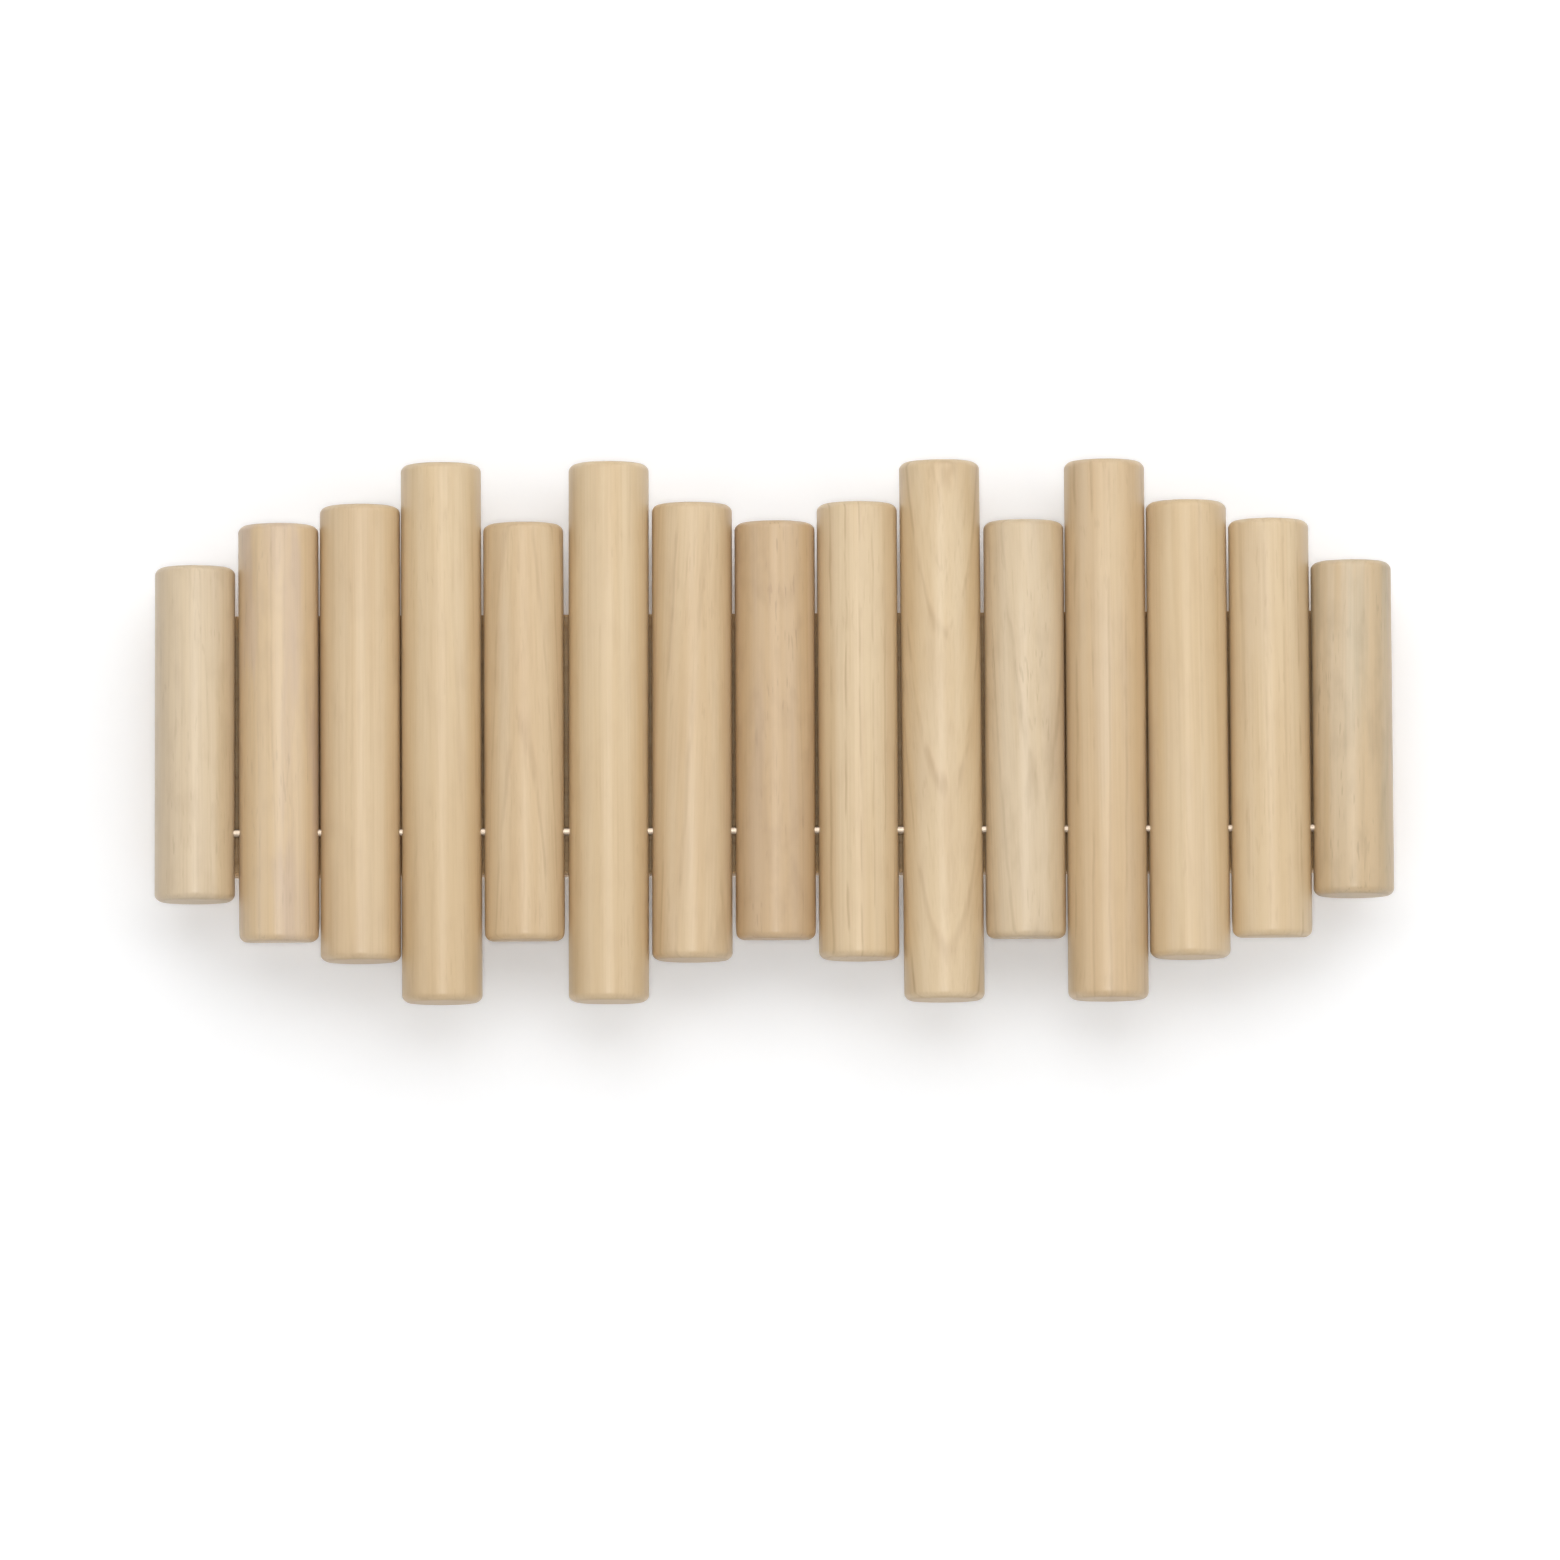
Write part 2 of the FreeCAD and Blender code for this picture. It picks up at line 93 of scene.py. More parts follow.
@dataclass
class Graph:
    """A node tree under construction."""

    tree: bpy.types.NodeTree

    def add(self, kind: str, feeds: dict[str | int, Feed] | None = None, **settings) -> bpy.types.Node:
        """Adds one node.

        Args:
            kind: Blender's name for the kind of node.
            feeds: what each of its inputs gets, a value or another node's output.
            **settings: the node's own properties, set before its inputs.

        Returns:
            The node.
        """
        node = self.tree.nodes.new(kind)
        for name, value in settings.items():
            setattr(node, name, value)
        for key, value in (feeds or {}).items():
            self.feed(node.inputs[key], value)
        return node

    def find(self, kind: str) -> bpy.types.Node:
        """Finds the node of a kind of which the tree has one."""
        return next(n for n in self.tree.nodes if n.bl_idname == kind)

    def feed(self, socket: Socket, value: Feed) -> None:
        """Sets an input, or links it where the value is another node's output."""
        if isinstance(value, Socket):
            self.tree.links.new(value, socket)
        else:
            socket.default_value = value

    def sum(self, operation: str, *values: Feed) -> Socket:
        """Works one number out of others, by a Math node."""
        node = self.add("ShaderNodeMath", dict(enumerate(values)), operation=operation)
        return node.outputs[0]

    def arrow(self, operation: str, *values: Feed) -> Socket:
        """Works one vector, or a length or dot product, out of others."""
        node = self.add("ShaderNodeVectorMath", dict(enumerate(values)), operation=operation)
        scalar = operation in ("DOT_PRODUCT", "LENGTH", "DISTANCE")
        return node.outputs["Value" if scalar else "Vector"]

    def split(self, vector: Feed) -> bpy.types.bpy_prop_collection:
        """Splits a vector in its three numbers."""
        return self.add("ShaderNodeSeparateXYZ", {0: vector}).outputs

    def join(self, x: Feed, y: Feed, z: Feed) -> Socket:
        """Joins three numbers in a vector."""
        return self.add("ShaderNodeCombineXYZ", {0: x, 1: y, 2: z}).outputs[0]

    def noise(self, place: Feed, scale: float, finer: float) -> Socket:
        """Makes a noise from 0 to 1, with some finer layers on it."""
        feeds = {"Vector": place, "Scale": scale, "Detail": finer}
        return self.add("ShaderNodeTexNoise", feeds).outputs[0]

    def ramp(self, value: Feed, low: Feed, high: Feed) -> Socket:
        """Rises smoothly from 0 to 1 as a value goes from low to high."""
        feeds = {"Value": value, "From Min": low, "From Max": high}
        return self.add("ShaderNodeMapRange", feeds, interpolation_type="SMOOTHSTEP").outputs[0]

    def blend(self, share: Feed, first: Feed, second: Feed) -> Socket:
        """Mixes two colours, through the sockets that the Mix node has for them."""
        node = self.add("ShaderNodeMix", data_type="RGBA")
        factor, first_colour, second_colour = (node.inputs[n] for n in (0, 6, 7))
        self.feed(factor, share)
        self.feed(first_colour, first)
        self.feed(second_colour, second)
        return node.outputs[2]


@dataclass
class GeometryGraph(Graph):
    """A geometry node tree under construction, with named inputs and one output."""

    def socket(self, name: str, kind: str) -> Socket:
        """Gives the tree one named input and returns where its value comes out."""
        self.tree.interface.new_socket(name, in_out="INPUT", socket_type=f"NodeSocket{kind}")
        return self.find("NodeGroupInput").outputs[name]

    def here(self) -> Socket:
        """Gives each point's own place."""
        return self.add("GeometryNodeInputPosition").outputs[0]

    def number(self) -> Socket:
        """Gives each point's own number."""
        return self.add("GeometryNodeInputIndex").outputs[0]

    def shifted(self, mesh: Socket, place: Socket) -> Socket:
        """Puts each point of a mesh on its new place."""
        return self.add("GeometryNodeSetPosition", {0: mesh, "Position": place}).outputs[0]

    def finish(self, geometry: Socket, material: Socket) -> None:
        """Ends the tree: real faces, smooth but for their sharp edges, in their material."""
        angle = self.add("GeometryNodeInputMeshEdgeAngle").outputs[0]
        sharp = self.sum("GREATER_THAN", angle, SHARP)
        real = self.add("GeometryNodeRealizeInstances", {0: geometry})
        soft = self.add("GeometryNodeSetShadeSmooth", {0: real.outputs[0]})
        edged = self.add(
            "GeometryNodeSetShadeSmooth",
            {"Geometry": soft.outputs[0], "Selection": sharp, "Shade Smooth": False},
            domain="EDGE",
        )
        painted = self.add("GeometryNodeSetMaterial", {0: edged.outputs[0], "Material": material})
        self.add("NodeGroupOutput", {0: painted.outputs[0]})

    def choose(self, kind: str, options: Sequence[Feed]) -> Socket:
        """Picks one of the options by each point's own number."""
        index = self.number()
        node = self.add("GeometryNodeIndexSwitch", data_type=kind)
        while len(node.index_switch_items) < len(options):
            node.index_switch_items.new()
        self.feed(node.inputs["Index"], index)
        for n, option in enumerate(options):
            self.feed(node.inputs[str(n)], option)
        return node.outputs[0]

    def outline(self, corners: Sequence[tuple[Feed, Feed]], rounds: Sequence[Feed], steps: int) -> Socket:
        """Draws an open line through corners in the XZ plane and rounds them.

        Args:
            corners: each corner's X and Z.
            rounds: each corner's radius, zero where it stays sharp.
            steps: how many points make one rounded corner.

        Returns:
            The curve.
        """
        line = self.add("GeometryNodeCurvePrimitiveLine")
        points = self.add("GeometryNodeResampleCurve", {"Curve": line.outputs[0], "Count": len(corners)})
        places = [self.join(x, 0.0, z) for x, z in corners]
        placed = self.shifted(points.outputs[0], self.choose("VECTOR", places))
        rounded = self.add(
            "GeometryNodeFilletCurve",
            {"Curve": placed, "Radius": self.choose("FLOAT", rounds), "Count": steps},
            mode="POLY",
        )
        return rounded.outputs[0]

    def refine(self, curve: Socket, spacing: float) -> Socket:
        """Adds points to a line so that none are further apart than the spacing."""
        here = self.here()
        following = self.add(
            "GeometryNodeFieldAtIndex",
            {"Index": self.sum("ADD", self.number(), 1.0), "Value": here},
            data_type="FLOAT_VECTOR",
        )
        length = self.arrow("DISTANCE", here, following.outputs[0])
        cuts = self.sum("FLOOR", self.sum("DIVIDE", length, spacing))
        return self.add("GeometryNodeSubdivideCurve", {"Curve": curve, "Cuts": cuts}).outputs[0]

    def lookup(self, curve: Socket, index: Feed) -> bpy.types.bpy_prop_collection:
        """Reads the X, Y and Z of a line's point of that number."""
        node = self.add(
            "GeometryNodeSampleIndex",
            {"Geometry": curve, "Value": self.here(), "Index": index},
            data_type="FLOAT_VECTOR",
        )
        return self.split(node.outputs[0])

    def point_count(self, curve: Socket) -> Socket:
        """Counts a line's points."""
        node = self.add("GeometryNodeAttributeDomainSize", {0: curve}, component="CURVE")
        return node.outputs["Point Count"]

    def turned(self, curve: Socket, around: int) -> Socket:
        """Turns a line of radius and height about Z into a closed form.

        Args:
            curve: the line, which starts and ends on the axis, from the bottom to the top.
            around: how many sides the form has.

        Returns:
            The mesh.
        """
        count = self.point_count(curve)
        grid = self.add("GeometryNodeMeshGrid", {"Vertices X": around + 1, "Vertices Y": count})
        index = self.number()
        x, _, z = self.lookup(curve, self.sum("MODULO", index, count))
        lane = self.sum("FLOOR", self.sum("DIVIDE", self.sum("ADD", index, 0.5), count))
        angle = self.sum("MULTIPLY", lane, FULL_TURN / around)
        place = self.join(
            self.sum("MULTIPLY", x, self.sum("COSINE", angle)),
            self.sum("MULTIPLY", x, self.sum("SINE", angle)),
            z,
        )
        wrapped = self.shifted(grid.outputs["Mesh"], place)
        return self.add("GeometryNodeMergeByDistance", {0: wrapped, "Distance": MERGE}).outputs[0]

    def prism(self, curve: Socket, half: float) -> Socket:
        """Makes a prism along X whose section in Y and Z is a line of X and Z, closed up."""
        count = self.point_count(curve)
        tube = self.add("GeometryNodeMeshCylinder", {"Vertices": count})
        index = self.number()
        y, _, z = self.lookup(curve, self.sum("MODULO", index, count))
        first = self.sum("LESS_THAN", index, count)
        across = self.sum("MULTIPLY", self.sum("SUBTRACT", 0.5, first), 2 * half)
        return self.shifted(tube.outputs["Mesh"], self.join(across, y, z))

    def moved(self, mesh: Socket, place: Feed, turn: Feed) -> Socket:
        """Turns a mesh and then moves it."""
        feeds = {"Geometry": mesh, "Translation": place, "Rotation": turn}
        return self.add("GeometryNodeTransform", feeds).outputs[0]

    def pin(self, radius: Feed, length: Feed, around: int) -> Socket:
        """Makes a plain cylinder about Z, middled on the origin."""
        feeds = {"Vertices": around, "Radius": radius, "Depth": length}
        return self.add("GeometryNodeMeshCylinder", feeds).outputs["Mesh"]

    def cut(self, mesh: Socket, *tools: Socket) -> Socket:
        """Takes tools away from a mesh."""
        node = self.add(
            "GeometryNodeMeshBoolean", {"Mesh 1": mesh}, operation="DIFFERENCE", solver="MANIFOLD"
        )
        for tool in tools:
            self.tree.links.new(tool, node.inputs["Mesh 2"])
        return node.outputs["Mesh"]


def new_geometry_graph(name: str) -> GeometryGraph:
    """Starts a geometry node tree that has one geometry input and one geometry output."""
    tree = bpy.data.node_groups.new(name, "GeometryNodeTree")
    tree.nodes.new("NodeGroupInput")
    tree.interface.new_socket("Geometry", in_out="OUTPUT", socket_type="NodeSocketGeometry")
    tree.interface.new_socket("Geometry", in_out="INPUT", socket_type="NodeSocketGeometry")
    return GeometryGraph(tree)


def grow(
    name: str, base: bpy.types.Mesh, tree: bpy.types.NodeTree, inputs: dict[str, object]
) -> bpy.types.Object:
    """Runs a geometry node tree on a mesh and keeps what comes out as a plain mesh.

    Args:
        name: the name of the finished piece.
        base: the mesh that the tree starts from.
        tree: the node tree.
        inputs: the value of each of its named inputs.

    Returns:
        The finished piece, at the origin and with no modifier.
    """
    piece = bpy.data.objects.new(name, base)
    bpy.context.scene.collection.objects.link(piece)
    modifier = piece.modifiers.new("making", "NODES")
    modifier.node_group = tree
    for item in tree.interface.items_tree:
        if item.item_type == "SOCKET" and item.in_out == "INPUT" and item.name in inputs:
            modifier[item.identifier] = inputs[item.name]
    piece.update_tag()
    bpy.context.view_layer.update()
    made = bpy.data.meshes.new_from_object(piece.evaluated_get(bpy.context.evaluated_depsgraph_get()))
    piece.modifiers.clear()
    piece.data = made
    made.name = name
    return piece


def new_material(name: str) -> tuple[bpy.types.Material, Graph, bpy.types.Node]:
    """Starts a material and returns it with its graph and its Principled shader."""
    material = bpy.data.materials.new(name)
    material.use_nodes = True
    graph = Graph(material.node_tree)
    return material, graph, graph.find("ShaderNodeBsdfPrincipled")


def dress(node: bpy.types.Object, material: bpy.types.Material) -> None:
    """Puts one material in every slot of a node."""
    for slot in node.material_slots:
        slot.material = material


@dataclass(frozen=True)
class Tone:
    """The colours of one stick of wood."""

    pale: Colour
    warm: Colour
    cool: Colour
    dark: Colour


class Tones(Enum):
    """The tones of light wood in the row."""

    STRAW = Tone((0.649, 0.515, 0.344), (0.599, 0.455, 0.277), (0.569, 0.450, 0.317), (0.345, 0.240, 0.134))
    HONEY = Tone((0.640, 0.484, 0.295), (0.589, 0.420, 0.234), (0.569, 0.430, 0.277), (0.336, 0.208, 0.104))
    BUTTER = Tone((0.670, 0.519, 0.324), (0.619, 0.455, 0.259), (0.599, 0.459, 0.305), (0.366, 0.229, 0.114))
    BLUSH = Tone((0.649, 0.489, 0.305), (0.619, 0.450, 0.254), (0.558, 0.420, 0.305), (0.345, 0.240, 0.163))
    CLAY = Tone((0.579, 0.420, 0.254), (0.538, 0.370, 0.197), (0.497, 0.360, 0.238), (0.315, 0.200, 0.114))
    AMBER = Tone((0.629, 0.420, 0.210), (0.569, 0.349, 0.153), (0.528, 0.379, 0.210), (0.336, 0.190, 0.076))
    OAT = Tone((0.609, 0.479, 0.317), (0.569, 0.410, 0.229), (0.487, 0.400, 0.267), (0.305, 0.219, 0.124))


@dataclass(frozen=True)
class Grain:
    """How a stick was sawn from its tree.

    The pith is the middle of the tree. Its side is an angle about the stick, from the wall's side
    at 0 to the right at 90, and its slope makes the rings run out into arches. The start shifts
    the rings outwards, and the waver is how far they stray from true circles.
    """

    pith_away: float
    pith_side: float
    slope: float
    ring_width: float
    ring_share: float
    waver: float
    start: float
    seed: int


@dataclass(frozen=True)
class Pattern:
    """A noise in the wood, drawn out along the fibres, and the part of its range that counts.

    Across and along are its swings to the metre, finer is how many finer layers it has, and the
    layer tells it from the other noises of the same stick.
    """

    across: float
    along: float
    finer: float
    layer: int
    low: float = 0.0
    high: float = 1.0


FIBRE = Pattern(1150, 16, 3.0, 1, 0.42, 0.72)
FLECK = Pattern(900, 105, 1.0, 2, 0.60, 0.72)
BROAD_BAND = Pattern(60, 3.5, 2.0, 3)
NARROW_BAND = Pattern(190, 6, 3.0, 4)
HAZE = Pattern(80, 9, 3.0, 5, 0.46, 0.66)
MOTTLE = Pattern(130, 55, 3.0, 6, 0.45, 0.75)
BEND = Pattern(30, 6, 1.0, 7)
KINK = Pattern(260, 45, 2.0, 8)
BROKEN = Pattern(170, 38, 2.0, 9, 0.40, 0.55)
PATCH = Pattern(70, 14, 2.0, 10, 0.44, 0.62)
SEED_ACROSS = 7.31
SEED_ALONG = 3.17
LAYER_STEP = 5.17


@dataclass(frozen=True)
class WoodFinish:
    """Planed wood under a satin lacquer.

    The shares say how strongly each mark colours the wood. A span, a rise or a fall is the range
    of a value over which something grows from nothing to its full strength.
    """

    tone: Tone
    grain: Grain
    cool_share: float = 0.5
    warm_share: float = 0.85
    mottle_share: float = 0.10
    foot_share: float = 0.0
    fibre_share: float = 0.11
    end_share: float = 0.30
    shade_share: float = 0.30
    fleck_gain: float = 1.5
    foot_gain: float = 0.12
    broad_share: float = 0.55
    band_span: Pair = (0.40, 0.62)
    foot_span: Pair = (50 * MM, -100 * MM)
    end_span: Pair = (0.72, 0.97)
    kink_gain: float = 0.6
    faintest: float = 0.4
    late_power: float = 1.6
    late_fall: Pair = (1.0, 0.78)
    line_rise: Pair = (0.76, 0.89)
    line_fall: Pair = (1.0, 0.90)
    roughness: float = 0.44
    fibre_rough: float = 0.12
    end_rough: float = 0.14
    coat: float = 0.42
    coat_roughness: float = 0.34
    bump: float = 0.5
    relief: float = 0.05 * MM
    fleck_depth: float = 0.6

    def material(self, name: str, middle: Vector, lie: Matrix) -> bpy.types.Material:
        """Makes the wood of one piece as a solid pattern in the tree's own frame.

        Args:
            name: the material's name.
            middle: the middle of the piece.
            lie: the turn that lays the piece's Z along its fibres.

        Returns:
            The material.
        """
        material, graph, shader = new_material(name)
        side = math.radians(self.grain.pith_side)
        to_pith = Vector((math.sin(side), math.cos(side), 0))
        lean = Matrix.Rotation(math.radians(self.grain.slope), 3, to_pith.cross(Vector((0, 0, 1))))
        turn = lie @ lean
        coords = graph.add("ShaderNodeTexCoord").outputs
        tree = graph.add(
            "ShaderNodeMapping",
            {
                "Vector": coords["Object"],
                "Location": middle + lie @ (to_pith * self.grain.pith_away),
                "Rotation": turn.to_euler(),
            },
            vector_type="TEXTURE",
        ).outputs[0]
        fibre = self.noise(graph, tree, FIBRE)
        fleck = self.marks(graph, tree, FLECK)
        patch = self.marks(graph, tree, PATCH)
        shade, line = self.rings(graph, tree)
        end = self.end_grain(graph, coords["Normal"], turn)

        ring_share = self.grain.ring_share
        colour = self.body_colour(graph, tree)
        colour = self.darken(graph, colour, ring_share * self.shade_share, shade)
        colour = self.darken(graph, colour, ring_share, line)
        colour = self.darken(graph, colour, self.fibre_share, graph.ramp(fibre, FIBRE.low, FIBRE.high))
        sparse = graph.sum("MULTIPLY", fleck, graph.sum("MAXIMUM", line, patch))
        colour = self.darken(graph, colour, self.mottle_share * self.fleck_gain, sparse)
        colour = self.darken(graph, colour, self.end_share, end)

        gloss = graph.sum("MULTIPLY_ADD", fibre, self.fibre_rough, self.roughness - self.fibre_rough / 2)
        gloss = graph.sum("MULTIPLY_ADD", end, self.end_rough, gloss)
        height = graph.sum("SUBTRACT", fibre, graph.sum("MULTIPLY", sparse, self.fleck_depth))
        feeds = {"Strength": self.bump, "Distance": self.relief, "Height": height}
        bump = graph.add("ShaderNodeBump", feeds)
        graph.feed(shader.inputs["Base Color"], colour)
        graph.feed(shader.inputs["Roughness"], gloss)
        graph.feed(shader.inputs["Normal"], bump.outputs[0])
        shader.inputs["Coat Weight"].default_value = self.coat
        shader.inputs["Coat Roughness"].default_value = self.coat_roughness
        return material

    def body_colour(self, graph: Graph, tree: Socket) -> Socket:
        """Makes the soft bands of pale, warm and cool wood that the figure lies on."""
        broad = graph.sum("MULTIPLY", self.noise(graph, tree, BROAD_BAND), self.broad_share)
        narrow = graph.sum("MULTIPLY", self.noise(graph, tree, NARROW_BAND), 1 - self.broad_share)
        bands = graph.ramp(graph.sum("ADD", broad, narrow), *self.band_span)
        warm = graph.sum("MULTIPLY", bands, self.warm_share)
        cool = graph.sum("MULTIPLY", self.marks(graph, tree, HAZE), self.cool_share)
        # The lower end is made warmer and darker: partly the wood's own colour, partly painted shade of the
        # light falling off downwards.
        foot = graph.ramp(graph.split(tree)["Z"], *self.foot_span)
        lower_warmth = graph.sum("MULTIPLY", foot, self.foot_share)
        colour = graph.blend(warm, plain(self.tone.pale), plain(self.tone.warm))
        colour = graph.blend(cool, colour, plain(self.tone.cool))
        colour = graph.blend(lower_warmth, colour, plain(self.tone.warm))
        colour = self.darken(graph, colour, self.foot_share * self.foot_gain, foot)
        return self.darken(graph, colour, self.mottle_share, self.marks(graph, tree, MOTTLE))

    def end_grain(self, graph: Graph, normal: Socket, turn: Matrix) -> Socket:
        """Finds where the fibres are cut across, from 0 to 1."""
        along = turn @ Vector((0, 0, 1))
        facing = graph.sum("ABSOLUTE", graph.arrow("DOT_PRODUCT", normal, along))
        return graph.ramp(facing, *self.end_span)

    def darken(self, graph: Graph, colour: Feed, share: float, where: Feed) -> Socket:
        """Mixes some of the tone's dark colour in."""
        return graph.blend(graph.sum("MULTIPLY", where, share), colour, plain(self.tone.dark))

    def noise(self, graph: Graph, tree: Socket, pattern: Pattern) -> Socket:
        """Makes one of the stick's noises, from 0 to 1, in the tree's frame."""
        scaled = graph.arrow("MULTIPLY", tree, (pattern.across, pattern.across, pattern.along))
        seed = self.grain.seed
        own = (seed * SEED_ACROSS, pattern.layer * LAYER_STEP, seed * SEED_ALONG)
        return graph.noise(graph.arrow("ADD", scaled, own), 1.0, pattern.finer)

    def marks(self, graph: Graph, tree: Socket, pattern: Pattern) -> Socket:
        """Makes one of the stick's noises and spreads the part of its range that counts."""
        return graph.ramp(self.noise(graph, tree, pattern), pattern.low, pattern.high)

    def rings(self, graph: Graph, tree: Socket) -> tuple[Socket, Socket]:
        """Makes the shade that deepens outwards in each ring, and the broken line that ends it."""
        grain = self.grain
        bend = self.noise(graph, tree, BEND)
        kink = self.noise(graph, tree, KINK)
        x, y, _ = graph.split(tree)
        away = graph.arrow("LENGTH", graph.join(x, y, 0.0))
        away = graph.sum("MULTIPLY_ADD", bend, grain.waver * 2, away)
        away = graph.sum("MULTIPLY_ADD", kink, grain.waver * self.kink_gain, away)
        years = graph.sum("DIVIDE", graph.sum("SUBTRACT", away, grain.start), grain.ring_width)
        share = graph.sum("FRACT", years)
        own_year = graph.sum("ADD", graph.sum("FLOOR", years), float(grain.seed))
        dice = graph.add("ShaderNodeTexWhiteNoise", {"W": own_year}, noise_dimensions="1D")
        strength = graph.sum("MULTIPLY_ADD", dice.outputs["Value"], 1 - self.faintest, self.faintest)
        late = graph.sum("POWER", share, self.late_power)
        late = graph.sum("MULTIPLY", late, graph.ramp(share, *self.late_fall))
        rise = graph.ramp(share, *self.line_rise)
        line = graph.sum("MULTIPLY", rise, graph.ramp(share, *self.line_fall))
        line = graph.sum("MULTIPLY", line, self.marks(graph, tree, BROKEN))
        return graph.sum("MULTIPLY", late, strength), graph.sum("MULTIPLY", line, strength)


@dataclass(frozen=True)
class SteelFinish:
    """Bare or plated steel with fine lines drawn along one axis."""

    colour: Colour
    shade: Colour
    roughness: float
    lines: tuple[float, float, float]
    cloud: float = 220.0
    cloud_span: Pair = (0.4, 0.68)
    line_rough: float = 0.16
    bump: float = 0.3
    relief: float = 0.01 * MM

    def material(self, name: str) -> bpy.types.Material:
        """Makes the steel's material."""
        material, graph, shader = new_material(name)
        coords = graph.add("ShaderNodeTexCoord").outputs["Object"]
        scaled = graph.arrow("MULTIPLY", coords, self.lines)
        fine = graph.noise(scaled, 1.0, 3.0)
        broad = graph.noise(coords, self.cloud, 2.0)
        mixed = graph.sum("ADD", graph.sum("MULTIPLY", fine, 0.5), graph.sum("MULTIPLY", broad, 0.5))
        colour = graph.blend(graph.ramp(mixed, *self.cloud_span), plain(self.colour), plain(self.shade))
        gloss = graph.sum("MULTIPLY_ADD", fine, self.line_rough, self.roughness - self.line_rough / 2)
        feeds = {"Strength": self.bump, "Distance": self.relief, "Height": fine}
        bump = graph.add("ShaderNodeBump", feeds)
        graph.feed(shader.inputs["Base Color"], colour)
        graph.feed(shader.inputs["Roughness"], gloss)
        graph.feed(shader.inputs["Normal"], bump.outputs[0])
        shader.inputs["Metallic"].default_value = 1.0
        return material


@dataclass(frozen=True)
class Stick:
    """One dowel of the row, by its node, with its wood.

    Cool, mottle and foot are shares of its finish: of the cool wood, of the spots, and of the
    warmer, darker colour towards the lower end, partly the wood's own and partly painted shade.
    """

    node: str
    tone: Tones
    grain: Grain
    cool: float = 0.4
    mottle: float = 0.10
    foot: float = 0.15

    @property
    def hooked(self) -> bool:
        """Whether the dowel tips out."""
        return self.node.startswith("hook")

    @property
    def body(self) -> str:
        """The body that the dowel moves with."""
        return self.node if self.hooked else "root"


STRAIGHT = 1.2 * MM
WAVY = 2.4 * MM

# In each Grain: the pith's distance, side and slope, the rings' width and share, waver, start, seed.
STICKS = (
    Stick("dowel_01", Tones.STRAW, Grain(90 * MM, 40, 0.6, 4.1 * MM, 0.16, WAVY, 0.0, 1), 0.35, 0.18),
    Stick("hook_02", Tones.BLUSH, Grain(90 * MM, 70, 0.4, 4.6 * MM, 0.18, WAVY, 0.0, 32), 0.85, 0.16),
    Stick("dowel_03", Tones.HONEY, Grain(120 * MM, 110, 0.3, 7.2 * MM, 0.12, WAVY, 0.0, 3), 0.30),
    Stick("dowel_04", Tones.BUTTER, Grain(90 * MM, 30, 1.4, 8.0 * MM, 0.16, WAVY, 0.0, 4), 0.20, foot=0.85),
    Stick("hook_05", Tones.HONEY, Grain(60 * MM, 4, 2.3, 4.0 * MM, 0.38, STRAIGHT, -2.0 * MM, 5), 0.35),
    Stick("dowel_06", Tones.BUTTER, Grain(110 * MM, 80, 0.3, 6.4 * MM, 0.14, WAVY, 0.0, 6), 0.20, foot=0.60),
    Stick("dowel_07", Tones.HONEY, Grain(70 * MM, -50, 2.6, 8.5 * MM, 0.28, WAVY, 0.0, 7), 0.40),
    Stick("hook_08", Tones.CLAY, Grain(80 * MM, 35, 0.8, 5.0 * MM, 0.16, WAVY, 0.0, 8), 0.60, 0.26, 0.60),
    Stick("dowel_09", Tones.BUTTER, Grain(100 * MM, 80, 0.2, 5.0 * MM, 0.55, WAVY, 1.8 * MM, 9), 0.20),
    Stick("dowel_10", Tones.BUTTER, Grain(60 * MM, -6, -6.0, 6.5 * MM, 0.62, STRAIGHT, -2.9 * MM, 10), 0.25),
    Stick("hook_11", Tones.STRAW, Grain(60 * MM, -24, -3.4, 6.4 * MM, 0.42, STRAIGHT, 0.0, 11), 0.40, 0.20),
    Stick("dowel_12", Tones.HONEY, Grain(110 * MM, 95, 0.2, 6.6 * MM, 0.42, WAVY, 0.0, 12), 0.45),
    Stick("dowel_13", Tones.BUTTER, Grain(95 * MM, 60, 0.5, 8.0 * MM, 0.16, WAVY, 0.0, 13), 0.30),
    Stick("hook_14", Tones.BUTTER, Grain(90 * MM, 80, 0.4, 7.0 * MM, 0.38, STRAIGHT, 0.0, 14), 0.30),
    Stick("dowel_15", Tones.OAT, Grain(70 * MM, -65, 0.9, 5.6 * MM, 0.20, WAVY, 0.0, 15), 0.75, 0.26, 0.60),
)


